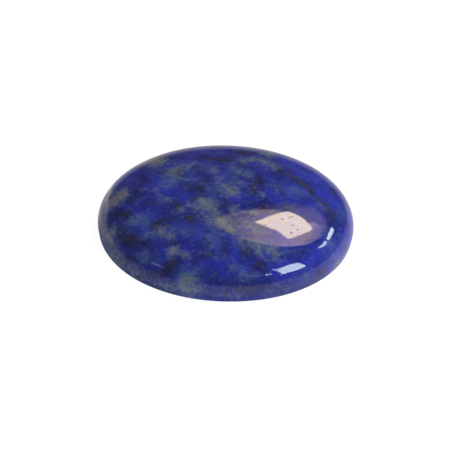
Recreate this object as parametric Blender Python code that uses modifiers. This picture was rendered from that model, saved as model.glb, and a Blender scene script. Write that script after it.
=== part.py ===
"""An oval cabochon of lapis lazuli: one stone, ground to a dome and polished, lying on its flat back.

Run with: blender --background --python part.py
Metres, +Z up. The origin is the middle of the flat back, and +X runs along the long axis of the oval.
"""

import math

import bpy

# Driving dimensions, in metres
LENGTH = 0.040
WIDTH = 0.030
THICKNESS = 0.0084
GIRDLE_HEIGHT = 0.0015
BACK_BEVEL = 0.0003
WALL_LEAN = 0.0001

# The dome's section is a superellipse: (radius / half length) ^ SPREAD + (rise / dome height) ^ RISE = 1.
# A SPREAD over 2 flattens the crown and tightens the shoulder.
SPREAD = 2.33
RISE = 2.0

DOME_RINGS = 22
SEGMENTS = 96
MERGE_DISTANCE = 0.00001

LAPIS_BLUE = (0.026, 0.033, 0.300, 1.0)
LAPIS_ROUGHNESS = 0.12


def clear_scene():
    for obj in list(bpy.data.objects):
        bpy.data.objects.remove(obj, do_unlink=True)


def new_collection(name):
    collection = bpy.data.collections.new(name)
    bpy.context.scene.collection.children.link(collection)
    return collection


def stone_material():
    material = bpy.data.materials.new("lapis_lazuli")
    material.use_nodes = True
    shader = material.node_tree.nodes["Principled BSDF"]
    shader.inputs["Base Color"].default_value = LAPIS_BLUE
    shader.inputs["Roughness"].default_value = LAPIS_ROUGHNESS
    shader.inputs["Metallic"].default_value = 0.0
    material.diffuse_color = LAPIS_BLUE
    return material


def dome_section():
    """(radius, height) from the middle of the crown down to the girdle, closer together at the shoulder."""
    half_length = LENGTH / 2
    dome_height = THICKNESS - GIRDLE_HEIGHT
    points = [(0.0, THICKNESS)]
    for ring in range(1, DOME_RINGS):
        angle = ring / DOME_RINGS * math.pi / 2
        radius = half_length * math.sin(angle) ** (2 / SPREAD)
        height = GIRDLE_HEIGHT + dome_height * math.cos(angle) ** (2 / RISE)
        points.append((radius, height))
    points.append((half_length, GIRDLE_HEIGHT))
    return points


def edge_section():
    """(radius, height) from below the girdle, round the bevel and in to the middle of the flat back."""
    wall_foot = LENGTH / 2 - WALL_LEAN
    return [
        (wall_foot, BACK_BEVEL),
        (wall_foot - BACK_BEVEL, 0.0),
        (0.0, 0.0),
    ]


def turned(name, section, collection):
    """An object turned round Z from a section that runs from the top down its outer side."""
    points = [(radius, 0.0, height) for radius, height in section]
    edges = [(i, i + 1) for i in range(len(points) - 1)]
    mesh = bpy.data.meshes.new(name)
    mesh.from_pydata(points, edges, [])
    obj = bpy.data.objects.new(name, mesh)
    collection.objects.link(obj)
    screw = obj.modifiers.new("turn", "SCREW")
    screw.axis = "Z"
    screw.angle = 2 * math.pi
    screw.steps = SEGMENTS
    screw.render_steps = SEGMENTS
    screw.use_merge_vertices = True
    screw.merge_threshold = MERGE_DISTANCE
    screw.use_smooth_shade = True
    return obj


def build_stone(collection):
    stone = turned("cabochon", dome_section() + edge_section(), collection)
    stone.scale = (1.0, WIDTH / LENGTH, 1.0)
    stone.data.materials.append(stone_material())
    return stone


def main():
    clear_scene()
    build_stone(new_collection("lapis_cabochon"))


main()
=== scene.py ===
"""Looks for the oval lapis lazuli cabochon: the polished stone, its marks, the table and the lights.

Metres in the row frame: the origin is the middle of the flat back, +X the long axis, +Z up.
Places inside the stone's material are in millimetres.
"""

import math

import bpy
from mathutils import Matrix, Vector


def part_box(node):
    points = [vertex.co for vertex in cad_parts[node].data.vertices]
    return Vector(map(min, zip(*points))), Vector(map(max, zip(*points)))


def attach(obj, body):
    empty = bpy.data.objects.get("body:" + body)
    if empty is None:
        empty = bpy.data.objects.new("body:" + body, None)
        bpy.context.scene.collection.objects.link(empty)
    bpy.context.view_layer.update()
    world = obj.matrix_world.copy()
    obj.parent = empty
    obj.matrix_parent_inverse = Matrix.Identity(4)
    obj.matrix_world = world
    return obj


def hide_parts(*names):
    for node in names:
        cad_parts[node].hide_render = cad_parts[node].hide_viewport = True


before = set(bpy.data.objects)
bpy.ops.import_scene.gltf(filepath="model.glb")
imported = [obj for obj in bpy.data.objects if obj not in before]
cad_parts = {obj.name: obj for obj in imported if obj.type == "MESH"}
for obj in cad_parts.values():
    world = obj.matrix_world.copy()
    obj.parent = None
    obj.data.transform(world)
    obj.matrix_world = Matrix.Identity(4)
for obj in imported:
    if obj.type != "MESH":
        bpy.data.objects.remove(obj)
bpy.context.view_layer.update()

MM = 0.001

# The stone's shape, in millimetres. The overall size is the CAD node's.
LOW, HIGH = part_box("cabochon")
HALF_LENGTH = (HIGH.x - LOW.x) / 2 / MM
HALF_WIDTH = (HIGH.y - LOW.y) / 2 / MM
THICKNESS = (HIGH.z - LOW.z) / MM
GIRDLE_HEIGHT = 1.5
BACK_BEVEL = 0.3
WALL_LEAN = 0.1
# The powers of the superellipses that the dome's section and plan follow
SPREAD = 2.33
FULLNESS = 2.05
# The rings of vertices on each part of the surface, and the vertices in a ring
DOME_RINGS = 110
WALL_RINGS = 6
BEVEL_RINGS = 4
BACK_RINGS = 30
SEGMENTS = 400

# The camera: where it looks, from which height angle, and how far it is turned about its own axis
CAMERA_ELEVATION = 49.0
CAMERA_DISTANCE = 0.300
CAMERA_ROLL = 1.73
CAMERA_LENS = 152.8
CAMERA_RIGHT_OF_BASE = -0.00012
CAMERA_ABOVE_BASE = 0.00055
CAMERA_NEAR = 0.01

# The picture that the lights are laid out in, and the width of the camera's sensor in millimetres
PICTURE = 450
SENSOR = 36.0

# The way from the camera into the dome is searched in this many steps, and the last one halved so often
TRACE_STEPS = 200
TRACE_HALVINGS = 16

# Lights: each is a sheet whose reflection in the polish has its corners at these places in the picture,
# in pixels from the top left. It stands this many metres from the dome. A fade along X has four numbers:
# from and to, in metres, and the share of the power at each.
LIGHT_DISTANCE = 1.5
WINDOW_DISTANCE = 1.2
WINDOW = [
    (254.3, 221.9), (262, 219.4), (269, 216.2), (277, 213.6), (284, 212.1), (287.5, 211.6),
    (292, 212.9), (298, 215.4), (303, 218.4), (307, 221.9), (310.5, 225.9), (312.3, 228.7),
    (310, 230.9), (305, 233.0), (300, 235.0), (294, 237.4), (288.5, 238.9), (285.5, 237.2),
    (282, 234.2), (276, 230.2), (270, 228.0), (263, 225.2), (257, 223.0),
]
WINDOW_COLOUR = (1.0, 0.815, 0.51)
WINDOW_POWER = 17.0
GLOW = [
    (214, 219.6), (218, 217.6), (226, 215), (234, 213.2), (243, 210.7), (252, 209.7), (262, 209.5),
    (275, 209.8), (285, 212.5), (292, 215), (300, 219), (306, 221.5), (310, 223), (315.5, 223),
    (319.8, 225), (321.3, 229), (320.3, 234.2), (317, 239), (311, 243), (304, 245.2), (295.5, 246),
    (286, 246.2), (277, 246), (268, 244.8), (259, 243), (250, 241.2), (243, 238.8), (236.5, 236),
    (230.5, 232.5), (223, 228), (216, 223.5),
]
GLOW_COLOUR = (1.0, 0.745, 0.42)
GLOW_POWER = 3.75
GLOW_LEFT = (0.05, 0.30, 0.40, 1.0)
GLOW_RIGHT = (0.35, 0.78, 1.0, 1.45)
GLOW_END = (0.79, 0.93, 1.0, 0.55)
# A haze round the glow, strongest to its upper right: within these corners an oval, in metres, that fades out
# from HALO_INSIDE to HALO_OUTSIDE times its radii
HALO = [
    (214, 213), (225, 208), (243, 204), (262, 202), (285, 201), (306, 202), (318, 206), (326, 214),
    (330, 224), (329, 236), (322, 244), (310, 249), (290, 251), (270, 249), (240, 235),
]
HALO_DISTANCE = 2.6
HALO_MIDDLE = (0.83, 0.75)
HALO_RADII = (0.82, 0.68)
HALO_POWER = 1.8
HALO_INSIDE = 0.9
HALO_OUTSIDE = 1.38
HALO_LEFT = (0.0, 1.3, 0.25, 1.0)
FRONT_PANEL = [
    (271.5, 269.5), (280.4, 268), (288.8, 264.9), (298, 262.6), (301, 263.6), (306.2, 265.9),
    (299.6, 269.2), (291.2, 271.8), (285, 273.6), (282.3, 274.3), (280.4, 272.6), (275, 270.7),
]
FRONT_LEFT = (0.64, 0.82, 0.6, 1.0)
FRONT_PANEL_POWER = 13.2
SIDE_PANEL = [
    (332.3, 227.3), (333.9, 230), (332.7, 233.6), (330.5, 237.3), (329.1, 240), (326.4, 239.1),
    (327.3, 236.4), (329.1, 231.8), (330.5, 228.6),
]
SIDE_PANEL_POWER = 14.5
SIDE_PANEL_FOOT = [
    (324.1, 240.9), (326.8, 241.8), (327.3, 243.6), (325, 245.5), (322.3, 247.3), (318.6, 248.2),
    (318.2, 246.8), (321.4, 245), (323.2, 243.2),
]
LEFT_PANEL = [
    (151.3, 263), (151.8, 262.2), (153.8, 262), (157.7, 263.7), (161.5, 265.8), (164.5, 267.6),
    (161.5, 267.3), (156.9, 265.6), (153, 264.2),
]
LEFT_PANEL_POWER = 1.6
LEFT_PANEL_COLOUR = (1.0, 0.85, 1.0)
FAR_STRIP = [
    (247, 274.5), (252, 275), (258, 275), (263, 274.5), (263, 275.8), (257, 277), (251, 277),
    (247, 276),
]
FAR_STRIP_POWER = 1.2
FAR_LAMPS = [
    [(265.6, 274.4), (267, 273.8), (268.2, 274.1), (268, 275.5), (266.2, 275.6)],
    [(269.2, 274), (271.6, 273.8), (271.6, 274.6), (269.4, 274.9)],
]
SMALL_LAMP_POWER = 13.0
COOL_COLOUR = (0.72, 0.88, 1.0)
PALE_COLOUR = (0.83, 1.0, 0.95)

# How bright the room looks from the stone, going round it: azimuth and brightness. The azimuth is in degrees
# from the far side, clockwise as seen from above.
AROUND = [
    (-180, 0.87), (-145, 0.5), (-112, 0.55), (-96, 0.8), (-80, 1.15), (-72, 1.1), (-64, 0.85),
    (-56, 1.15), (-50, 1.45), (-43, 0.07), (52, 0.07), (65, 0.85), (78, 1.15), (99, 1.5), (114, 1.25),
    (130, 0.95), (180, 0.87),
]
ROOM_COLOUR = (0.12, 0.12, 0.13)
# At the horizon the room is as bright as AROUND says. It dims upwards, and from this rise on it has its own
# colour.
DIM_ABOVE = 0.19
# On the table AROUND is looked up from this place, in metres
SHADOW_MIDDLE = (-0.008, 0.0, 0.0)
# The table's light behind the stone's long axis sets in over FAR_EDGE metres and is down to half at FALL_OFF
FAR_EDGE = 0.004
FALL_OFF = 0.036
FALL_OFF_POWER = 1.6
# Under its edge the stone shades the table, less to the right, out to SHADE_REACH of its own radius: SHADE
# fades along X like a light
SHADE = (-0.005, 0.020, 0.25, 0.6)
SHADE_REACH = 1.22
SHADED_TABLE = 1.5
SHADED_TABLE_HEIGHT = 0.0001
SHADED_TABLE_COLOUR = (1.0, 0.96, 0.99)
TABLE_POWER = 0.95
FLOOR = 4.0
FLOOR_COLOUR = (0.12, 0.12, 0.12)


def add(tree, kind, inputs=None, **settings):
    """A node with its settings, and each input linked where it is given a socket."""
    node = tree.nodes.new(kind)
    for name, value in settings.items():
        setattr(node, name, value)
    for key, value in (inputs or {}).items():
        if isinstance(value, bpy.types.NodeSocket):
            tree.links.new(value, node.inputs[key])
        else:
            node.inputs[key].default_value = value
    return node


def math_node(tree, operation, *values):
    return add(tree, "ShaderNodeMath", dict(enumerate(values)), operation=operation).outputs[0]


def length(tree, vector):
    return add(tree, "ShaderNodeVectorMath", {0: vector}, operation="LENGTH").outputs["Value"]


def smooth(tree, value, low, high, to_low=0.0, to_high=1.0):
    """value between low and high, turned into an even rise from to_low to to_high."""
    inputs = {"Value": value, "From Min": low, "From Max": high, "To Min": to_low, "To Max": to_high}
    node = add(tree, "ShaderNodeMapRange", inputs, interpolation_type="SMOOTHSTEP", clamp=False)
    return node.outputs["Result"]


def noise(tree, place, scale, detail, roughness, output="Fac"):
    inputs = {"Vector": place, "Scale": scale, "Detail": detail, "Roughness": roughness}
    return add(tree, "ShaderNodeTexNoise", inputs).outputs[output]


def pattern(tree, place, look, amounts):
    """Noise of a look, its scale per millimetre, detail and roughness, turned into amounts by smooth."""
    return smooth(tree, noise(tree, place, *look), *amounts)


def mix_colour(tree, factor, first, second):
    node = add(tree, "ShaderNodeMix", {0: factor}, data_type="RGBA")
    for key, value in ((6, first), (7, second)):
        if isinstance(value, bpy.types.NodeSocket):
            tree.links.new(value, node.inputs[key])
        else:
            node.inputs[key].default_value = (*value, 1.0)
    return node.outputs[2]


def shift(tree, place, amount, look):
    """place, moved about by up to amount in millimetres, so that marks get uneven edges."""
    wander = noise(tree, place, *look, output="Color")
    middle = add(tree, "ShaderNodeVectorMath", {0: wander, 1: (0.5, 0.5, 0.5)}, operation="SUBTRACT")
    scaled = add(tree, "ShaderNodeVectorMath", {0: middle.outputs[0], 3: amount * 2}, operation="SCALE")
    moved = add(tree, "ShaderNodeVectorMath", {0: place, 1: scaled.outputs[0]}, operation="ADD")
    return moved.outputs[0]


def surface_height(x, y):
    """Millimetres above the table of the dome's surface over (x, y)."""
    out = math.hypot(x / HALF_LENGTH, y / HALF_WIDTH)
    rise = max(0.0, 1.0 - out**SPREAD)
    return GIRDLE_HEIGHT + (THICKNESS - GIRDLE_HEIGHT) * math.sqrt(rise)


def turned(tree, place, angle):
    """place, in axes that are turned by angle about Z."""
    if angle == 0:
        return place
    inputs = {"Vector": place, "Rotation": (0.0, 0.0, -math.radians(angle))}
    return add(tree, "ShaderNodeMapping", inputs, vector_type="POINT").outputs[0]


def marks(tree, place, rows, depth, reach):
    """The strongest of many soft spots. A row is x, y, half length, half width, angle and strength.

    A spot reaches depth millimetres into the stone, and fades out at reach times its size.
    Each angle is a multiple of 30 degrees, so that the spots share a few turned axes.
    """
    axes = {angle: turned(tree, place, angle) for angle in sorted({row[4] for row in rows})}
    total = None
    for x, y, half_length, half_width, angle, strength in rows:
        turn = math.radians(angle)
        centre = (
            x * math.cos(turn) + y * math.sin(turn),
            y * math.cos(turn) - x * math.sin(turn),
            surface_height(x, y),
        )
        scale = (1 / half_length, 1 / half_width, 1 / depth)
        offset = tuple(-c * k for c, k in zip(centre, scale))
        inputs = {0: axes[angle], 1: scale, 2: offset}
        near = add(tree, "ShaderNodeVectorMath", inputs, operation="MULTIPLY_ADD")
        amount = smooth(tree, length(tree, near.outputs[0]), reach, 0.0, 0.0, strength)
        total = amount if total is None else math_node(tree, "MAXIMUM", total, amount)
    return total


# Calcite clouds, grey-green to beige
CALCITE = [
    (-12.6, 9.5, 2.0, 1.6, -30, 1.3), (-11.2, 8.6, 1.8, 1.4, -30, 1.3), (-9.7, 7.8, 1.1, 0.8, 0, 0.5),
    (-8.2, 4.7, 1.5, 1.4, 0, 0.9), (-7.4, 5.9, 1.1, 0.8, 30, 0.55), (-6.0, 6.0, 1.5, 1.1, 0, 0.7),
    (-7.5, 6.9, 1.0, 0.6, 0, 0.5), (-2.3, 4.7, 0.9, 0.8, 0, 0.85), (-16.7, 1.2, 1.4, 1.1, 30, 1.4),
    (-17.5, 0.6, 1.6, 1.2, 30, 1.5), (-18.6, 1.4, 1.0, 2.0, 0, 0.9), (-12.3, 1.3, 1.0, 0.4, 0, 0.5),
    (-11.0, 1.0, 0.7, 0.5, 0, 0.8), (-10.2, -0.3, 1.2, 0.5, -30, 0.55),
    (-9.0, -1.1, 1.0, 0.6, -30, 0.55), (-0.6, 1.4, 1.1, 1.0, 0, 0.8), (0.5, 0.6, 1.6, 1.2, -30, 0.95),
    (2.4, 7.4, 1.0, 0.8, 60, 0.8), (4.1, 8.2, 1.5, 0.8, 0, 0.85), (5.9, 7.6, 1.2, 0.8, -30, 0.8),
    (7.3, 6.8, 1.1, 0.8, -30, 0.85), (0.5, 6.2, 0.7, 0.7, 0, 0.6), (1.2, 5.0, 0.8, 0.6, 0, 0.65),
    (2.0, 4.4, 0.9, 0.6, -30, 0.7), (3.4, 4.2, 0.5, 0.7, 0, 0.5), (5.3, -0.3, 0.7, 0.6, 0, 0.65),
    (3.8, 1.3, 0.8, 0.9, 0, 0.5), (9.8, -1.8, 0.5, 0.5, 0, 0.5), (7.9, 1.4, 0.6, 0.8, 0, 0.45),
    (-3.3, -2.1, 1.4, 1.0, 0, 1.1), (-3.2, -3.0, 1.1, 0.8, 0, 1.0), (-1.0, 3.0, 1.3, 1.0, 0, 0.4),
    (-2.4, -3.2, 1.0, 1.3, -30, 0.95), (-4.5, -3.3, 0.8, 0.9, 0, 0.65), (-5.3, -2.4, 0.7, 0.8, 0, 0.5),
    (-1.8, -4.8, 1.3, 0.9, 0, 0.95), (-0.7, -5.6, 1.3, 0.9, -30, 1.3), (0.4, -6.6, 1.2, 0.8, -30, 1.2),
    (1.2, -7.4, 0.9, 0.7, -60, 0.7), (2.8, -9.2, 1.5, 0.8, -30, 0.8), (2.8, -5.0, 1.8, 1.2, 0, 0.4),
    (5.0, -9.5, 1.4, 1.0, -30, 0.9), (7.2, -9.7, 1.3, 1.0, -30, 0.85), (8.2, -10.5, 0.9, 0.8, 0, 0.65),
    (-7.0, -3.4, 0.8, 0.8, 0, 0.65), (-5.7, -2.7, 0.45, 0.4, 0, 0.8), (-12.0, -7.1, 1.0, 0.5, 0, 0.75),
    (-10.0, -6.9, 1.2, 0.9, -30, 0.85), (-8.6, -7.8, 1.0, 0.6, -30, 0.85),
    (-6.6, -7.6, 0.9, 0.4, -30, 0.55), (-14.1, -4.2, 1.0, 0.6, 0, 0.55),
    (-7.8, -10.1, 0.9, 0.7, 0, 1.2), (-6.0, -10.8, 0.9, 0.6, -30, 0.9), (-5.7, -13.9, 1.4, 0.8, 0, 1.4),
    (-5.5, -14.6, 1.7, 0.7, 0, 0.8), (-7.4, -13.7, 0.9, 0.5, 0, 0.5), (-17.6, -5.4, 0.9, 1.3, 0, 1.1),
    (-16.9, -6.9, 0.9, 1.2, 30, 0.65), (-12.3, -10.0, 1.1, 0.6, -30, 0.55),
    (-3.0, -10.7, 1.0, 0.4, 0, 0.4), (1.5, -12.6, 1.3, 0.35, -30, 0.45), (3.0, -13.4, 1.1, 0.5, 0, 0.4),
    (-16.1, -8.9, 1.5, 0.7, -60, 1.0), (-13.4, -11.2, 2.2, 0.8, -30, 0.45),
    (-10.0, -13.2, 2.0, 0.6, -30, 0.5), (-12.8, -11.9, 2.0, 1.0, -30, 0.65),
    (3.2, -14.4, 1.8, 0.6, 0, 0.2), (7.9, -13.8, 1.9, 0.6, 30, 0.45), (12.4, -11.2, 1.4, 0.8, 30, 0.35),
    (1.0, -15.0, 4.0, 0.5, 0, 0.35), (3.0, -6.1, 2.0, 1.5, 0, 0.8), (0.6, -5.4, 0.9, 0.7, 0, 0.8),
    (5.0, -6.8, 1.2, 0.8, 0, 0.9), (3.0, -3.6, 0.8, 0.5, 0, 0.7), (-1.0, 3.0, 1.0, 0.8, 0, 0.6),
    (-0.3, -6.2, 1.0, 0.7, 0, 1.3), (2.4, -8.2, 1.0, 0.6, 0, 0.7), (-18.6, -4.8, 0.7, 1.6, 0, 0.8),
    (-16.8, -8.4, 1.5, 0.6, -60, 1.1), (-14.0, -11.0, 1.6, 0.6, -30, 0.8),
    (-8.2, -13.8, 1.6, 0.6, -30, 0.7), (-3.7, -14.4, 1.0, 0.5, 0, 0.8),
    (17.3, -7.8, 1.2, 0.45, 60, 0.7), (6.3, 10.4, 1.2, 1.0, -30, 1.0), (-2.5, -5.2, 1.0, 1.0, -30, 0.9),
    (-3.6, -4.2, 0.8, 0.5, 0, 0.7), (-7.9, 3.3, 1.1, 0.8, 0, 0.8), (1.5, -3.6, 1.0, 1.0, 0, 0.8),
    (-18.2, 2.4, 1.0, 0.8, 0, 1.0), (-17.7, -7.2, 0.9, 1.0, 0, 0.9), (-1.0, -11.2, 0.9, 0.5, 0, 0.5),
    (2.3, 2.0, 0.7, 0.6, 0, 0.6), (4.0, 11.6, 1.2, 0.5, 0, 0.6), (-11.9, 7.6, 0.9, 0.8, 0, 1.1),
    (4.2, -3.5, 0.9, 0.6, 0, 1.0),
]

# Broad areas of deep navy
DEEP = [
    (-17.0, -2.4, 1.8, 1.5, 0, 0.9), (-14.3, -7.6, 2.4, 1.3, -30, 1.0),
    (-12.4, -8.5, 1.9, 0.8, -30, 0.8), (-15.8, -6.0, 1.1, 1.3, 0, 0.7), (-14.3, 0.8, 1.3, 1.5, 0, 0.7),
    (-13.2, 3.6, 1.3, 1.6, 0, 0.6), (-12.5, -1.8, 1.3, 1.0, 0, 0.5), (-4.9, 0.8, 1.4, 1.5, 0, 0.8),
    (-3.0, 2.8, 1.0, 1.3, 0, 0.7), (-4.0, -0.9, 1.3, 0.8, 0, 0.6), (3.0, 10.3, 2.8, 0.9, 0, 1.0),
    (-1.5, 8.0, 2.6, 0.9, 0, 0.85), (-4.2, 8.2, 1.3, 0.9, 0, 0.6), (-9.0, 9.3, 2.0, 0.8, 0, 0.5),
    (2.6, 6.3, 1.4, 0.9, 0, 0.55), (5.0, 2.8, 1.3, 1.4, 0, 0.8), (4.0, 1.2, 1.1, 1.4, 0, 0.7),
    (-8.4, -12.0, 2.1, 1.0, 30, 1.0), (-2.6, -11.0, 1.8, 0.9, 0, 0.5), (0.0, -10.0, 1.0, 1.3, 0, 0.65),
    (3.0, -10.0, 0.9, 1.4, 0, 0.7), (5.2, -12.1, 1.4, 1.1, 0, 0.75), (-5.3, -4.8, 1.2, 1.4, 0, 0.65),
    (-0.2, -2.6, 1.0, 1.4, -30, 0.65), (0.4, -3.8, 1.0, 0.7, 0, 0.4), (5.8, -1.8, 1.3, 1.2, 0, 0.6),
    (-10.4, -5.6, 1.5, 0.9, -30, 0.7), (16.4, -1.8, 1.2, 1.2, 0, 0.7), (12.3, 0.4, 1.2, 0.8, 0, 0.4),
    (16.8, 4.0, 0.9, 0.9, 0, 0.4), (-6.3, -9.2, 1.9, 0.7, 0, 0.55), (8.8, 5.6, 1.7, 1.3, -30, 0.6),
    (-8.0, -2.6, 1.4, 1.0, 0, 0.6), (-10.4, 5.2, 1.1, 0.8, 0, 0.5), (-11.2, -12.2, 1.6, 0.6, -30, 0.6),
    (-14.2, -9.8, 1.6, 0.9, -30, 0.7), (-9.6, -3.9, 1.4, 0.9, 0, 0.4), (-0.5, 5.6, 1.0, 1.2, 0, 0.4),
    (-8.6, -13.6, 2.6, 0.9, -30, 0.7), (-12.4, -11.9, 2.6, 1.0, -30, 0.8),
    (8.4, -13.6, 2.2, 0.8, 30, 0.3), (-15.8, -9.2, 2.0, 1.0, -60, 0.5), (-18.4, -4.6, 1.0, 2.4, 0, 0.7),
    (-4.4, 4.6, 1.2, 1.4, 0, 0.45), (11.2, -9.0, 1.4, 0.8, 0, 0.4), (-2.6, 9.8, 2.6, 0.7, 0, 0.2),
    (8.0, 1.6, 0.9, 1.2, 0, 0.4), (-2.6, -13.6, 1.6, 0.8, 0, 0.5), (14.4, -10.4, 1.6, 0.7, 30, 0.8),
    (-9.1, 7.8, 1.0, 0.8, 0, 0.6), (9.4, 3.6, 0.9, 0.7, -30, 0.5), (-2.6, -14.8, 2.4, 0.6, 0, 0.5),
    (4.2, -14.4, 3.0, 0.9, 0, 1.0), (0.6, -14.4, 3.0, 0.8, 0, 0.8), (-4.4, -12.0, 0.8, 0.6, 0, 0.6),
]

# Dark spots of pyroxene and the dark vein
DARK = [
    (-4.1, 8.3, 1.2, 0.8, 0, 0.6), (-0.9, 7.7, 1.4, 0.9, 0, 0.8), (-2.4, 7.9, 0.9, 0.6, 0, 0.75),
    (-5.2, 5.5, 0.6, 0.7, 0, 0.6), (-10.3, 5.1, 0.8, 0.6, 0, 0.6), (-9.0, 9.2, 1.4, 0.7, 0, 0.55),
    (-7.0, 8.2, 1.0, 0.6, 0, 0.4), (-12.9, 3.8, 0.7, 1.2, 0, 0.6), (-13.0, 5.6, 0.9, 0.5, 0, 0.4),
    (-3.2, 2.6, 0.7, 0.8, 0, 0.7), (-14.3, 1.1, 0.8, 0.7, 0, 0.6), (-13.6, 2.2, 0.6, 0.6, 0, 0.4),
    (-4.4, 0.7, 0.8, 0.8, 0, 0.8), (-6.8, 3.7, 0.9, 0.4, -30, 0.6), (-5.9, 0.6, 0.7, 0.5, 0, 0.4),
    (3.3, 10.1, 2.0, 0.9, 0, 0.5), (1.2, 10.1, 1.4, 0.6, 0, 0.5), (-1.5, 9.6, 1.0, 0.5, 0, 0.3),
    (6.0, 9.4, 1.0, 0.5, -30, 0.3), (2.2, 6.6, 0.9, 0.6, 0, 0.6), (3.6, 5.9, 0.8, 0.6, 0, 0.4),
    (5.2, 2.9, 0.7, 0.9, 0, 0.85), (4.5, 2.3, 0.6, 0.6, 0, 0.6), (3.6, 1.4, 0.7, 0.6, 0, 0.7),
    (4.2, 0.4, 0.7, 0.7, 0, 0.75), (9.9, 5.8, 0.6, 0.6, 0, 0.5), (7.7, 1.9, 0.8, 0.6, 0, 0.4),
    (16.0, -1.3, 0.8, 1.0, 0, 0.45), (8.6, 5.6, 1.4, 1.2, -30, 0.4), (9.9, -1.7, 0.5, 0.6, 0, 0.6),
    (12.4, 0.3, 0.7, 0.5, 0, 0.35), (16.7, 3.8, 0.6, 0.6, 0, 0.35), (-15.5, -2.9, 0.9, 0.9, 0, 0.95),
    (-17.0, -2.6, 1.4, 1.3, 0, 0.6), (-16.4, -1.1, 1.2, 0.8, 0, 0.2),
    (-14.4, -7.4, 1.5, 0.9, -30, 0.85), (-12.8, -8.0, 1.4, 0.6, -30, 0.6),
    (-15.4, -6.5, 0.8, 0.9, 0, 0.6), (-10.5, -6.0, 0.9, 0.6, 0, 0.9), (-9.3, -5.0, 0.7, 0.7, 0, 0.8),
    (-8.0, -12.0, 1.2, 0.7, 30, 1.0), (-9.1, -12.6, 1.2, 0.6, 0, 0.8),
    (-11.4, -12.0, 1.2, 0.5, -30, 0.5), (-14.0, -9.8, 1.2, 0.7, -30, 0.6),
    (-5.3, -4.8, 0.7, 1.0, 0, 0.75), (-3.6, -5.2, 0.6, 0.6, 0, 0.75), (-2.8, -10.7, 1.3, 0.4, 0, 0.5),
    (-3.9, -11.4, 0.6, 0.7, 0, 0.65), (-3.2, -8.9, 0.9, 0.9, 0, 0.6), (-7.7, -2.3, 0.8, 0.7, 0, 0.7),
    (-6.2, -3.3, 0.8, 0.6, 0, 0.4), (-0.3, -2.5, 0.7, 1.0, 0, 0.6), (-0.4, -1.1, 0.8, 0.5, 0, 0.35),
    (-0.1, -10.0, 0.5, 0.8, 0, 0.6), (-4.8, -0.8, 0.8, 0.8, 0, 0.5), (-14.8, -0.5, 0.9, 0.7, 0, 0.55),
    (-12.1, -1.8, 0.9, 0.7, 0, 0.55), (-8.2, -8.9, 1.2, 0.4, 0, 0.6), (-6.4, -9.0, 0.9, 0.4, 0, 0.4),
    (5.9, -2.6, 0.9, 0.7, 0, 0.85), (5.7, -1.2, 0.6, 0.6, 0, 0.6), (3.0, -10.0, 0.7, 0.9, 0, 0.65),
    (5.3, -12.0, 1.1, 0.7, 0, 0.85), (3.1, -4.1, 0.4, 0.3, 0, 0.7), (0.3, -1.9, 0.5, 0.5, 0, 0.4),
    (-10.9, -2.9, 0.7, 0.5, 0, 0.3), (-1.5, -12.6, 0.7, 0.4, 0, 0.4), (-17.8, -3.9, 0.6, 0.5, 0, 0.4),
    (7.2, -10.8, 0.7, 0.4, 0, 0.3), (9.1, 5.8, 0.7, 0.4, -30, 0.7), (10.6, 4.3, 0.6, 0.5, 0, 0.8),
    (12.1, 3.4, 0.6, 0.4, -30, 0.85), (13.2, 2.1, 0.6, 0.4, -60, 0.8), (13.9, 1.0, 0.6, 0.4, -60, 0.6),
    (-5.4, -1.9, 0.9, 0.6, 0, 0.6), (-2.2, -1.8, 0.6, 0.5, 0, 0.4),
]

# The dark vein down the right of the dome, and brown places elsewhere
VEIN = [
    (8.7, 6.1, 0.9, 0.6, -30, 0.55), (9.6, 5.4, 1.0, 0.6, -30, 0.7), (10.6, 4.4, 1.0, 0.7, -30, 0.8),
    (11.4, 3.8, 0.8, 0.6, -30, 0.7), (12.2, 3.2, 0.9, 0.7, -30, 0.85), (13.0, 2.3, 0.9, 0.6, -60, 0.8),
    (13.7, 1.4, 0.9, 0.6, -60, 0.75), (14.5, 0.8, 0.9, 0.6, -30, 0.7), (15.3, 0.3, 0.8, 0.6, -30, 0.8),
    (16.1, -0.6, 0.9, 0.7, -60, 0.4), (16.4, -1.6, 0.7, 0.9, 0, 0.35), (6.9, 8.3, 1.4, 0.4, -30, 0.35),
    (-1.2, 7.6, 1.3, 0.7, 0, 0.6), (-3.0, 7.8, 1.1, 0.6, 0, 0.5), (3.0, 10.2, 1.8, 0.7, 0, 0.45),
    (-7.8, 4.5, 0.9, 0.6, 0, 0.4), (18.3, -1.7, 0.9, 1.2, 0, 0.4), (-19.0, -2.6, 0.6, 1.3, 0, 0.5),
    (-18.8, -5.4, 0.6, 1.4, 0, 0.45), (-16.2, -9.0, 1.7, 0.8, -60, 0.45),
    (-13.5, -11.3, 1.7, 0.7, -30, 0.4), (-10.7, -12.7, 1.6, 0.6, -30, 0.4),
    (0.6, -14.9, 2.0, 0.6, 0, 0.35),
]

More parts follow.
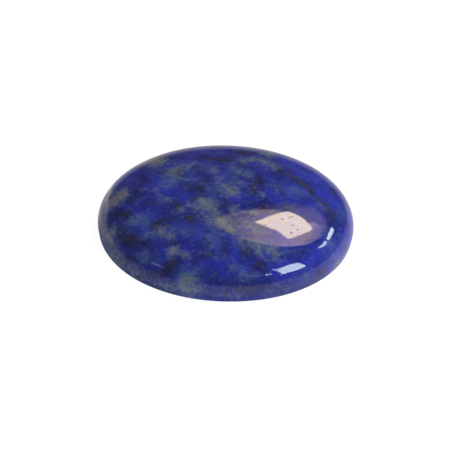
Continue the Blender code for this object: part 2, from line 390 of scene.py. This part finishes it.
# Patches of clearer, brighter blue
BRIGHT = [
    (-9.4, 2.2, 2.0, 1.8, 0, 0.8), (-15.4, 4.6, 1.7, 1.5, 0, 0.6), (-5.3, 2.9, 1.2, 0.4, 0, 0.7),
    (-8.3, 0.9, 1.5, 1.0, 0, 0.6), (9.0, 2.4, 1.8, 1.2, 0, 0.6), (10.8, 1.1, 1.8, 1.3, 0, 0.9),
    (6.2, 1.4, 0.9, 1.2, 0, 0.7), (13.2, 5.7, 2.6, 1.6, 0, 0.9), (15.2, 2.7, 2.0, 1.6, 0, 0.9),
    (16.8, 1.8, 2.0, 1.4, 0, 0.7), (8.7, 8.8, 2.0, 1.1, 0, 0.8), (11.2, 8.2, 1.6, 1.2, 0, 0.7),
    (-11.9, -4.4, 2.2, 1.5, 0, 0.9), (-4.9, -8.4, 1.5, 1.1, 0, 0.6), (15.8, -6.9, 1.2, 1.8, -30, 0.7),
    (13.3, -9.6, 2.2, 0.8, 30, 0.8), (0.9, -0.8, 1.4, 1.0, 0, 0.6), (-7.0, -0.9, 1.2, 1.0, 0, 0.6),
    (1.3, -11.3, 1.6, 1.3, 0, 0.6), (-1.2, 3.2, 1.5, 1.1, 0, 0.6), (-2.4, -11.8, 1.5, 0.7, 0, 0.7),
    (-1.0, -9.4, 1.6, 1.2, 0, 0.6), (-6.9, -6.6, 1.6, 1.0, 0, 0.5), (9.8, -11.2, 1.8, 0.8, 0, 0.9),
    (7.4, -12.0, 1.2, 0.6, 0, 0.6), (-2.0, -10.1, 1.1, 0.6, 0, 0.8), (14.6, -8.0, 1.2, 0.7, 0, 0.6),
]

# Greener, greyer veils over the blue
TEAL = [
    (17.8, -0.4, 0.9, 0.8, 0, 0.6), (17.0, -1.2, 0.9, 0.7, 0, 0.7), (7.8, 2.0, 1.3, 1.0, 0, 0.7),
    (10.8, 1.2, 1.8, 1.1, 0, 0.6), (-13.6, -4.4, 1.8, 1.0, 0, 0.8), (-12.4, -5.2, 1.4, 0.9, 0, 0.5),
    (3.4, 4.2, 0.9, 1.0, 0, 0.8), (-6.8, 4.5, 2.4, 2.2, 0, 0.5), (-4.2, 5.6, 2.2, 1.2, 30, 0.5),
    (-11.6, 7.2, 2.2, 1.6, -30, 0.5), (0.6, 4.6, 2.4, 1.6, 0, 0.6), (4.2, 7.2, 3.0, 1.2, 0, 0.4),
    (-3.6, -2.6, 2.2, 2.0, 0, 0.6), (-7.2, -3.4, 1.4, 1.2, 0, 0.6), (-10.6, -7.0, 2.6, 1.2, 0, 0.6),
    (-16.2, 1.2, 2.2, 1.8, 0, 0.6), (-16.4, -5.6, 1.8, 1.8, 0, 0.6), (-5.4, -13.0, 2.6, 1.0, 0, 0.7),
    (-1.6, -8.4, 2.0, 1.4, 0, 0.5), (5.6, -9.0, 2.2, 1.0, 0, 0.6), (3.2, -13.4, 1.8, 0.7, 0, 0.4),
    (-12.0, -10.2, 2.0, 0.9, -30, 0.6), (16.4, -7.4, 0.9, 1.3, -30, 0.5),
]

# Pale, greenish blue
PALE_BLUE = [
    (-9.3, 2.4, 1.6, 1.1, 0, 0.8), (-13.4, -4.5, 1.6, 0.9, 0, 0.85), (-12.0, -5.0, 1.2, 0.8, 0, 0.6),
    (-5.3, 2.8, 1.4, 0.5, 0, 1.15), (-2.0, -8.5, 1.5, 1.2, 0, 0.55), (2.3, -12.4, 1.3, 0.4, -30, 0.7),
    (3.2, -13.2, 1.0, 0.5, 0, 0.5), (10.7, 1.2, 1.4, 0.9, 0, 0.4), (3.3, 4.2, 0.8, 0.9, 0, 0.4),
    (-9.8, -1.2, 0.9, 1.0, -30, 0.4), (-6.2, -7.4, 1.0, 0.5, -30, 0.4),
    (-12.6, -10.0, 1.2, 0.7, 0, 0.4), (-2.1, -6.5, 1.0, 0.8, 0, 1.0), (-3.6, 1.8, 1.1, 0.7, 0, 0.7),
    (-1.8, 0.6, 1.1, 0.7, 0, 0.8), (9.3, -9.2, 1.2, 0.7, 0, 0.7), (16.3, -6.4, 0.9, 0.8, 0, 0.8),
    (14.7, -7.9, 1.1, 0.7, 0, 0.4), (14.1, -0.6, 1.0, 0.8, -30, 0.5), (-8.4, -7.2, 0.8, 0.6, 0, 0.5),
    (-0.3, -7.4, 0.8, 0.6, 0, 0.6),
]

# Patches with a violet cast
VIOLET = [
    (-6.0, 9.2, 1.6, 2.0, 0, 0.8), (-5.4, 7.6, 1.4, 1.0, 0, 0.7), (-1.5, 10.8, 3.0, 1.0, 0, 0.7),
    (-14.0, 6.0, 2.2, 1.6, 0, 0.5), (-2.6, 3.8, 0.7, 0.5, 0, 0.7), (5.9, 5.9, 0.7, 0.9, 0, 0.7),
    (10.5, 7.6, 1.3, 0.9, 0, 0.4), (-12.4, 2.3, 1.0, 0.9, 0, 0.6), (-13.7, -2.0, 1.1, 1.0, 0, 0.7),
    (-16.3, -4.0, 0.9, 0.6, 0, 0.7), (-17.0, 4.2, 1.2, 1.0, 0, 0.6), (-5.2, -2.0, 0.5, 0.6, 0, 0.5),
    (2.4, 6.8, 1.2, 0.8, 0, 0.6), (1.6, 9.0, 1.6, 0.9, 0, 0.5), (-15.6, 3.4, 1.2, 1.0, 0, 0.4),
]

# Small rusty stains beside the dark spots
RUST = [
    (-7.6, -1.3, 0.4, 0.35, 0, 0.4), (-5.0, -5.5, 0.4, 0.5, 0, 0.35), (-10.1, -12.4, 0.8, 0.5, 0, 0.6),
    (-3.3, -5.2, 0.5, 0.5, 0, 0.35), (6.0, -7.6, 0.8, 0.5, 0, 0.5), (-7.7, 4.9, 0.9, 0.6, 0, 0.4),
]

ULTRAMARINE = (0.017, 0.022, 0.375)
DEEP_BLUE = (0.011, 0.017, 0.185)
NAVY = (0.011, 0.014, 0.115)
TEAL_BLUE = (0.034, 0.068, 0.27)
CLEAR_BLUE = (0.022, 0.034, 0.50)
VIOLET_BLUE = (0.030, 0.020, 0.36)
NAVY_BLACK = (0.008, 0.010, 0.042)
BROWN_BLACK = (0.026, 0.027, 0.036)
VEIN_BROWN = (0.033, 0.037, 0.052)
RUST_BROWN = (0.060, 0.032, 0.062)
CALCITE_GREEN = (0.082, 0.124, 0.236)
CALCITE_BEIGE = (0.122, 0.143, 0.234)
AZURE = (0.055, 0.094, 0.345)
PALE_FLECK = (0.150, 0.200, 0.360)
PYRITE = (0.42, 0.34, 0.13)

# Patches of other blues, from the lowest up: their rows, their colour and how strongly they show.
# Four numbers make that change with the streaks: a range of theirs, and how strongly at each end.
BLUES = [
    (BRIGHT, CLEAR_BLUE, 0.8),
    (TEAL, TEAL_BLUE, (0.34, 0.66, 0.5, 1.3)),
    (PALE_BLUE, AZURE, (0.36, 0.64, 0.3, 1.4)),
    (VIOLET, VIOLET_BLUE, 0.8),
    (DEEP, NAVY, 0.9),
]

# Patterns of noise in the rock: the scale per millimetre, the detail and the roughness of each
GROUND = (0.34, 6.0, 0.64)
VEIL = (0.42, 5.0, 0.62)
STREAKS = (1.5, 4.0, 0.62)
GRAIN = (1.5, 4.0, 0.6)
WISPS = (0.75, 5.0, 0.66)
CLOUDS = (0.30, 5.0, 0.6)
FLECKS = (3.6, 2.0, 0.5)
SMUDGES = (0.42, 3.0, 0.6)
SPECKLE = (1.8, 3.0, 0.6)
SOOT = (0.8, 2.0, 0.55)
RIPPLES = (2.6, 3.0, 0.6)

# How the rock is warped: first widely and then finely, by up to so many millimetres with this noise
WARPS = [(0.5, (0.4, 2.0, 0.55)), (0.22, (1.8, 2.0, 0.55))]
# The grain of the rock runs down to the right over the dome, and the long patterns are drawn out along it
GRAIN_ANGLE = 38.0
GRAIN_STRETCH = (0.62, 1.15, 1.0)

# How deep marks reach into the stone in millimetres, and at how many times their size they end
MARK_DEPTH = 2.0
DARK_DEPTH = 1.8
RUST_DEPTH = 1.5
MARK_REACH = 1.85
CALCITE_REACH = 2.15

# Where the photo shows nothing of the stone: past this Y, and below this Z, in millimetres
FAR_FLANK = (10.5, 12.5)
UNDERSIDE = (0.6, 0.1)

# Specks: cells per millimetre, the largest radius in millimetres, and the share of the cells with a speck
DOTS = (1.05, 0.20, 0.30)
PYRITE_SPECKS = (2.0, 0.08, 0.35)
PITS = (1.4, 0.14, 0.6)
# The smallest speck's size beside the largest's, and where in its radius a speck's edge ends and begins
SMALLEST = 0.5
SPECK_EDGE = (1.15, 0.6)

# The polish: its refraction, its roughness over a range of calcite, the height of its ripples in metres, and
# how many times as deep the pits are
REFRACTION = 1.5
ROUGHNESS = (0.2, 1.2, 0.045, 0.075)
RIPPLE = 0.0000015
PIT_DEPTH = -12.0


def stretched(tree, place):
    """place, in axes along the grain of the rock, so that patterns are drawn out along it."""
    inputs = {"Vector": place, "Rotation": (0.0, 0.0, math.radians(GRAIN_ANGLE)), "Scale": GRAIN_STRETCH}
    return add(tree, "ShaderNodeMapping", inputs, vector_type="POINT").outputs[0]


def specks(tree, place, scale, radius, share):
    """Round specks of up to this radius: one in each of this share of the cells."""
    inputs = {"Vector": place, "Scale": scale, "Randomness": 1.0}
    cells = add(tree, "ShaderNodeTexVoronoi", inputs, feature="F1")
    chosen = add(tree, "ShaderNodeSeparateColor", {0: cells.outputs["Color"]})
    kept = math_node(tree, "LESS_THAN", chosen.outputs["Red"], share)
    largest = radius * scale
    size = smooth(tree, chosen.outputs["Green"], 0.0, 1.0, SMALLEST * largest, largest)
    near = math_node(tree, "DIVIDE", cells.outputs["Distance"], size)
    return math_node(tree, "MULTIPLY", smooth(tree, near, *SPECK_EDGE), kept)


def ground_colour(tree, warped, along):
    """Ultramarine, deeper in places, under a veil of teal."""
    colour = mix_colour(tree, pattern(tree, warped, GROUND, (0.38, 0.60)), DEEP_BLUE, ULTRAMARINE)
    return mix_colour(tree, pattern(tree, along, VEIL, (0.46, 0.70, 0.0, 0.6)), colour, TEAL_BLUE)


def with_blues(tree, warped, along, colour):
    """colour under the patches of other blues, and under pale streaks."""
    streaks = noise(tree, along, *STREAKS)
    for rows, tint, strength in BLUES:
        amount = marks(tree, warped, rows, MARK_DEPTH, MARK_REACH)
        if isinstance(strength, tuple):
            strength = smooth(tree, streaks, *strength)
        colour = mix_colour(tree, math_node(tree, "MULTIPLY", amount, strength), colour, tint)
    return mix_colour(tree, smooth(tree, streaks, 0.52, 0.74, 0.0, 0.5), colour, AZURE)


def calcite_amount(tree, place, warped, along):
    """How much calcite there is, and where the stone is unseen in the photo and noise alone places it."""
    calcite = marks(tree, warped, CALCITE, MARK_DEPTH, CALCITE_REACH)
    calcite = math_node(tree, "ADD", calcite, pattern(tree, warped, GRAIN, (0.32, 0.68, -0.32, 0.26)))
    calcite = math_node(tree, "ADD", calcite, pattern(tree, along, WISPS, (0.52, 0.76, 0.0, 0.45)))
    parts = add(tree, "ShaderNodeSeparateXYZ", {0: place}).outputs
    far, under = smooth(tree, parts["Y"], *FAR_FLANK), smooth(tree, parts["Z"], *UNDERSIDE)
    unseen = math_node(tree, "MAXIMUM", far, under)
    clouds = pattern(tree, along, CLOUDS, (0.46, 0.62, -0.1, 1.0))
    return math_node(tree, "MULTIPLY_ADD", clouds, unseen, calcite), unseen


def with_calcite(tree, place, calcite, colour):
    """colour under the calcite clouds, which are beige where they are thick, and under pale flecks."""
    cloud = mix_colour(tree, smooth(tree, calcite, 0.6, 1.3), CALCITE_GREEN, CALCITE_BEIGE)
    colour = mix_colour(tree, smooth(tree, calcite, 0.05, 1.2), colour, cloud)
    return mix_colour(tree, pattern(tree, place, FLECKS, (0.63, 0.76, 0.0, 0.32)), colour, PALE_FLECK)


def with_dark_marks(tree, place, warped, unseen, colour):
    """colour under the dark spots, vein, stains and dots, and how likely a speck of pyrite is."""
    dark = marks(tree, warped, DARK, DARK_DEPTH, MARK_REACH)
    smudges = pattern(tree, warped, SMUDGES, (0.52, 0.66, 0.0, 0.8))
    dark = math_node(tree, "MULTIPLY_ADD", smudges, unseen, dark)
    speckle = noise(tree, place, *SPECKLE)
    likely = smooth(tree, dark, 0.3, 0.7, 0.03, 0.8)
    dark = math_node(tree, "ADD", dark, smooth(tree, speckle, 0.38, 0.70, -0.3, 0.5))
    vein = marks(tree, warped, VEIN, MARK_DEPTH, MARK_REACH)
    vein = math_node(tree, "ADD", vein, smooth(tree, speckle, 0.34, 0.66, -0.4, 0.25))
    colour = mix_colour(tree, smooth(tree, vein, 0.05, 0.9, 0.0, 0.9), colour, VEIN_BROWN)
    soot = mix_colour(tree, pattern(tree, place, SOOT, (0.4, 0.6)), NAVY_BLACK, BROWN_BLACK)
    colour = mix_colour(tree, smooth(tree, dark, 0.12, 1.0, 0.0, 0.82), colour, soot)
    rust = marks(tree, warped, RUST, RUST_DEPTH, MARK_REACH)
    colour = mix_colour(tree, math_node(tree, "MULTIPLY", rust, 0.6), colour, RUST_BROWN)
    dots = specks(tree, warped, *DOTS)
    return mix_colour(tree, math_node(tree, "MULTIPLY", dots, 0.5), colour, NAVY_BLACK), likely


def polish_bump(tree, place):
    """Faint ripples and small pits."""
    pits = specks(tree, place, *PITS)
    relief = math_node(tree, "MULTIPLY_ADD", pits, PIT_DEPTH, noise(tree, place, *RIPPLES))
    return add(tree, "ShaderNodeBump", {"Strength": 1.0, "Distance": RIPPLE, "Height": relief}).outputs[0]


def lapis_material():
    material = bpy.data.materials.new("polished_lapis")
    material.use_nodes = True
    tree = material.node_tree
    tree.nodes.clear()
    raw = add(tree, "ShaderNodeTexCoord").outputs["Object"]
    to_mm = {"Vector": raw, "Scale": (1 / MM, 1 / MM, 1 / MM)}
    place = add(tree, "ShaderNodeMapping", to_mm, vector_type="POINT").outputs[0]
    warped = place
    for amount, look in WARPS:
        warped = shift(tree, warped, amount, look)
    along = stretched(tree, warped)

    colour = with_blues(tree, warped, along, ground_colour(tree, warped, along))
    calcite, unseen = calcite_amount(tree, place, warped, along)
    colour = with_calcite(tree, place, calcite, colour)
    colour, likely = with_dark_marks(tree, place, warped, unseen, colour)
    brass = math_node(tree, "MULTIPLY", specks(tree, place, *PYRITE_SPECKS), likely)
    shader_inputs = {
        "Base Color": mix_colour(tree, brass, colour, PYRITE),
        "IOR": REFRACTION,
        "Roughness": smooth(tree, calcite, *ROUGHNESS),
        "Normal": polish_bump(tree, place),
        "Metallic": math_node(tree, "MULTIPLY", brass, 0.8),
    }
    shader = add(tree, "ShaderNodeBsdfPrincipled", shader_inputs)
    add(tree, "ShaderNodeOutputMaterial", {"Surface": shader.outputs[0]})
    return material


def section():
    """(radius, height) in millimetres from the crown, over the dome, down the wall and in across the back."""
    dome_height = THICKNESS - GIRDLE_HEIGHT
    points = []
    for ring in range(1, DOME_RINGS + 1):
        angle = ring / DOME_RINGS * math.pi / 2
        radius = HALF_LENGTH * math.sin(angle) ** (2 / SPREAD)
        points.append((radius, GIRDLE_HEIGHT + dome_height * max(0.0, math.cos(angle))))
    foot = HALF_LENGTH - WALL_LEAN
    for ring in range(1, WALL_RINGS + 1):
        share = ring / WALL_RINGS
        points.append((HALF_LENGTH - WALL_LEAN * share, GIRDLE_HEIGHT + (BACK_BEVEL - GIRDLE_HEIGHT) * share))
    for ring in range(1, BEVEL_RINGS + 1):
        share = ring / BEVEL_RINGS
        points.append((foot - BACK_BEVEL * share, BACK_BEVEL * (1 - share)))
    rim = foot - BACK_BEVEL
    for ring in range(1, BACK_RINGS):
        points.append((rim * (1 - ring / BACK_RINGS), 0.0))
    return points


def new_object(name, points, faces, material):
    mesh = bpy.data.meshes.new(name)
    mesh.from_pydata(points, [], faces)
    mesh.update()
    mesh.materials.append(material)
    obj = bpy.data.objects.new(name, mesh)
    bpy.context.scene.collection.objects.link(obj)
    return obj


def build_stone():
    rings = section()
    vertices = [(0.0, 0.0, THICKNESS * MM)]
    for radius, height in rings:
        for step in range(SEGMENTS):
            turn = 2 * math.pi * step / SEGMENTS
            along, across = math.cos(turn), math.sin(turn)
            out = radius / (abs(along) ** FULLNESS + abs(across) ** FULLNESS) ** (1 / FULLNESS)
            vertices.append((out * along * MM, out * across * HALF_WIDTH / HALF_LENGTH * MM, height * MM))
    vertices.append((0.0, 0.0, 0.0))
    last = len(vertices) - 1
    faces = []
    for step in range(SEGMENTS):
        following = (step + 1) % SEGMENTS
        faces.append((0, 1 + step, 1 + following))
        for ring in range(len(rings) - 1):
            upper = 1 + ring * SEGMENTS
            lower = upper + SEGMENTS
            faces.append((upper + step, lower + step, lower + following, upper + following))
        base = last - SEGMENTS
        faces.append((base + step, last, base + following))
    stone = new_object("lapis_cabochon", vertices, faces, lapis_material())
    stone.data.shade_smooth()
    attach(stone, "root")
    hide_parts("cabochon")


def camera_pose():
    elevation = math.radians(CAMERA_ELEVATION)
    back = Vector((0.0, -math.cos(elevation), math.sin(elevation)))
    up = Vector((0.0, math.sin(elevation), math.cos(elevation)))
    target = Vector((CAMERA_RIGHT_OF_BASE, 0.0, 0.0)) + up * CAMERA_ABOVE_BASE
    tilt = Matrix.Rotation(math.radians(90.0 - CAMERA_ELEVATION), 4, "X")
    roll = Matrix.Rotation(math.radians(CAMERA_ROLL), 4, "Z")
    return Matrix.Translation(target + back * CAMERA_DISTANCE) @ tilt @ roll


def dome_shape(point):
    """How far a point in millimetres is outside the dome, where 0 is on it, and the way out of the dome."""
    along, across = abs(point.x) / HALF_LENGTH, abs(point.y) / HALF_WIDTH
    rise = max(0.0, point.z - GIRDLE_HEIGHT) / (THICKNESS - GIRDLE_HEIGHT)
    plan = along**FULLNESS + across**FULLNESS
    outside = plan ** (SPREAD / FULLNESS) + rise**2 - 1.0
    pull = SPREAD * plan ** (SPREAD / FULLNESS - 1.0)
    x = math.copysign(pull * along ** (FULLNESS - 1.0) / HALF_LENGTH, point.x)
    y = math.copysign(pull * across ** (FULLNESS - 1.0) / HALF_WIDTH, point.y)
    return outside, Vector((x, y, 2 * rise / (THICKNESS - GIRDLE_HEIGHT))).normalized()


def reflected_place(pixel, distance):
    """The place at a distance in metres from the dome that the camera sees reflected in it at a pixel."""
    pose = camera_pose()
    eye = pose.translation / MM
    scale = CAMERA_LENS / SENSOR * PICTURE
    way = Vector(((pixel[0] - PICTURE / 2) / scale, (PICTURE / 2 - pixel[1]) / scale, -1.0))
    way = (pose.to_3x3() @ way).normalized()
    nearest, furthest = [(height - eye.z) / way.z for height in (THICKNESS, GIRDLE_HEIGHT)]
    stride = (furthest - nearest) / TRACE_STEPS
    depths = [nearest + stride * step for step in range(1, TRACE_STEPS + 1)]
    inner = next(depth for depth in depths if dome_shape(eye + way * depth)[0] < 0.0)
    outer = inner - stride
    for _ in range(TRACE_HALVINGS):
        middle = (outer + inner) / 2
        if dome_shape(eye + way * middle)[0] < 0.0:
            inner = middle
        else:
            outer = middle
    spot = eye + way * outer
    return spot * MM + way.reflect(dome_shape(spot)[1]) * distance


def light_material(name, colour, power, fade=None):
    """Light of an even power, or one that fade, given the tree and the place, works out."""
    material = bpy.data.materials.new(name)
    material.use_nodes = True
    tree = material.node_tree
    tree.nodes.clear()
    if fade:
        power = fade(tree, add(tree, "ShaderNodeTexCoord").outputs["Object"], power)
    glow = add(tree, "ShaderNodeEmission", {"Color": (*colour, 1.0), "Strength": power})
    add(tree, "ShaderNodeOutputMaterial", {"Surface": glow.outputs[0]})
    return material


def faded(tree, place, ends, power=1.0):
    """power, faded along X as ends say: from, to, and the share of it at each."""
    start, end, at_start, at_end = ends
    x = add(tree, "ShaderNodeSeparateXYZ", {0: place}).outputs["X"]
    return smooth(tree, x, start, end, at_start * power, at_end * power)


def glow_fade(tree, place, power):
    """Weaker at both ends, and a little stronger to the right of the middle."""
    left = faded(tree, place, GLOW_LEFT, power)
    right = faded(tree, place, GLOW_RIGHT)
    end = faded(tree, place, GLOW_END)
    return math_node(tree, "MULTIPLY", math_node(tree, "MULTIPLY", left, right), end)


def front_fade(tree, place, power):
    """Weaker at the left end."""
    return faded(tree, place, FRONT_LEFT, power)


def halo_fade(tree, place, power):
    """Fades out from the glow's edge, and to the left."""
    middle = (*HALO_MIDDLE, 0.0)
    scale = (1 / HALO_RADII[0], 1 / HALO_RADII[1], 0.0)
    offset = tuple(-m * k for m, k in zip(middle, scale))
    scaled = add(tree, "ShaderNodeVectorMath", {0: place, 1: scale, 2: offset}, operation="MULTIPLY_ADD")
    out = length(tree, scaled.outputs[0])
    left = faded(tree, place, HALO_LEFT)
    return math_node(tree, "MULTIPLY", smooth(tree, out, HALO_OUTSIDE, HALO_INSIDE, 0.0, power), left)


def around(tree, place):
    """How bright the room is on the side where place lies, from AROUND."""
    parts = add(tree, "ShaderNodeSeparateXYZ", {0: place}).outputs
    azimuth = math_node(tree, "ARCTAN2", parts["X"], parts["Y"])
    share = math_node(tree, "MULTIPLY_ADD", azimuth, 1 / (2 * math.pi), 0.5)
    ramp = add(tree, "ShaderNodeValToRGB", {"Fac": share})
    stops = ramp.color_ramp.elements
    for number, (degrees, bright) in enumerate(AROUND):
        position = degrees / 360 + 0.5
        if number == 0:
            stop = stops[0]
        elif number == len(AROUND) - 1:
            stop = stops[len(stops) - 1]
        else:
            stop = stops.new(position)
        stop.position = position
        stop.color = (bright, bright, bright, 1.0)
    return ramp.outputs["Color"]


def table_light(tree, place, power):
    """The table's brightness at place, as the polish shows it."""
    behind = add(tree, "ShaderNodeSeparateXYZ", {0: place}).outputs["Y"]
    behind = math_node(tree, "MAXIMUM", behind, 0.0)
    spread = math_node(tree, "POWER", math_node(tree, "DIVIDE", behind, FALL_OFF), FALL_OFF_POWER)
    edge = smooth(tree, behind, 0.0, FAR_EDGE)
    dimmed = math_node(tree, "DIVIDE", edge, math_node(tree, "ADD", spread, 1.0))
    way = add(tree, "ShaderNodeVectorMath", {0: place, 1: SHADOW_MIDDLE}, operation="SUBTRACT")
    bright = math_node(tree, "MAXIMUM", around(tree, way.outputs[0]), dimmed)
    scale = (1 / (HALF_LENGTH * MM), 1 / (HALF_WIDTH * MM), 0.0)
    scaled = add(tree, "ShaderNodeVectorMath", {0: place, 1: scale}, operation="MULTIPLY")
    out = length(tree, scaled.outputs[0])
    shade = smooth(tree, out, 1.0, SHADE_REACH, faded(tree, place, SHADE), power)
    return math_node(tree, "MULTIPLY", bright, shade)


def panel(name, corners, colour, power, distance=LIGHT_DISTANCE, fade=None):
    """A glowing sheet that the camera sees reflected in the dome with these corners in the picture."""
    points = [reflected_place(corner, distance) for corner in corners]
    middle = sum(points, Vector()) / len(points)
    faces = [(i, (i + 1) % len(points), len(points)) for i in range(len(points))]
    sheet = new_object(name, [*points, middle], faces, light_material(name, colour, power, fade))
    sheet.visible_camera = False


def square(reach, height):
    """The corners of a level square that reaches this far to each side of the origin."""
    signs = [(-1, -1), (1, -1), (1, 1), (-1, 1)]
    return [(reach * x, reach * y, height) for x, y in signs]


def build_lights():
    panel("window_light", WINDOW, WINDOW_COLOUR, WINDOW_POWER, WINDOW_DISTANCE)
    panel("glow_light", GLOW, GLOW_COLOUR, GLOW_POWER, fade=glow_fade)
    panel("halo_light", HALO, GLOW_COLOUR, HALO_POWER, HALO_DISTANCE, halo_fade)
    panel("front_light", FRONT_PANEL, PALE_COLOUR, FRONT_PANEL_POWER, fade=front_fade)
    panel("side_light", SIDE_PANEL, PALE_COLOUR, SIDE_PANEL_POWER)
    panel("side_light_foot", SIDE_PANEL_FOOT, COOL_COLOUR, SMALL_LAMP_POWER)
    panel("left_light", LEFT_PANEL, LEFT_PANEL_COLOUR, LEFT_PANEL_POWER)
    panel("far_strip", FAR_STRIP, COOL_COLOUR, FAR_STRIP_POWER)
    for number, corners in enumerate(FAR_LAMPS):
        panel(f"far_lamp_{number}", corners, COOL_COLOUR, SMALL_LAMP_POWER)


def build_floor():
    material = bpy.data.materials.new("pale_floor")
    material.use_nodes = True
    shader = material.node_tree.nodes["Principled BSDF"]
    shader.inputs["Base Color"].default_value = (*FLOOR_COLOUR, 1.0)
    shader.inputs["Roughness"].default_value = 1.0
    shader.inputs["Specular IOR Level"].default_value = 0.0
    shader.inputs["Emission Color"].default_value = (1.0, 1.0, 1.0, 1.0)
    shader.inputs["Emission Strength"].default_value = TABLE_POWER
    floor = new_object("floor", square(FLOOR, 0.0), [(0, 1, 2, 3)], material)


def build_shaded_table():
    """The table as only the polish shows it: shaded under the stone's edge and dim behind the stone."""
    material = light_material("shaded_table", SHADED_TABLE_COLOUR, TABLE_POWER, table_light)
    corners = square(SHADED_TABLE, SHADED_TABLE_HEIGHT)
    card = new_object("shaded_table", corners, [(0, 1, 2, 3)], material)
    card.visible_camera = False
    card.visible_diffuse = False
    card.visible_shadow = False


def build_world():
    """A room that is dim above, and near the horizon as bright as AROUND says."""
    world = bpy.data.worlds.new("room")
    bpy.context.scene.world = world
    world.use_nodes = True
    tree = world.node_tree
    tree.nodes.clear()
    way = add(tree, "ShaderNodeTexCoord").outputs["Generated"]
    height = add(tree, "ShaderNodeSeparateXYZ", {0: way}).outputs["Z"]
    colour = mix_colour(tree, smooth(tree, height, DIM_ABOVE, 0.0), ROOM_COLOUR, around(tree, way))
    sky = add(tree, "ShaderNodeBackground", {"Color": colour, "Strength": 1.0})
    add(tree, "ShaderNodeOutputWorld", {"Surface": sky.outputs[0]})


def build_camera():
    data = bpy.data.cameras.new("camera")
    data.lens = CAMERA_LENS
    data.clip_start = CAMERA_NEAR
    camera = bpy.data.objects.new("camera", data)
    bpy.context.scene.collection.objects.link(camera)
    camera.matrix_world = camera_pose()
    bpy.context.scene.camera = camera


build_stone()
build_lights()
build_floor()
build_shaded_table()
build_world()
build_camera()
bpy.context.scene.view_settings.view_transform = "Standard"
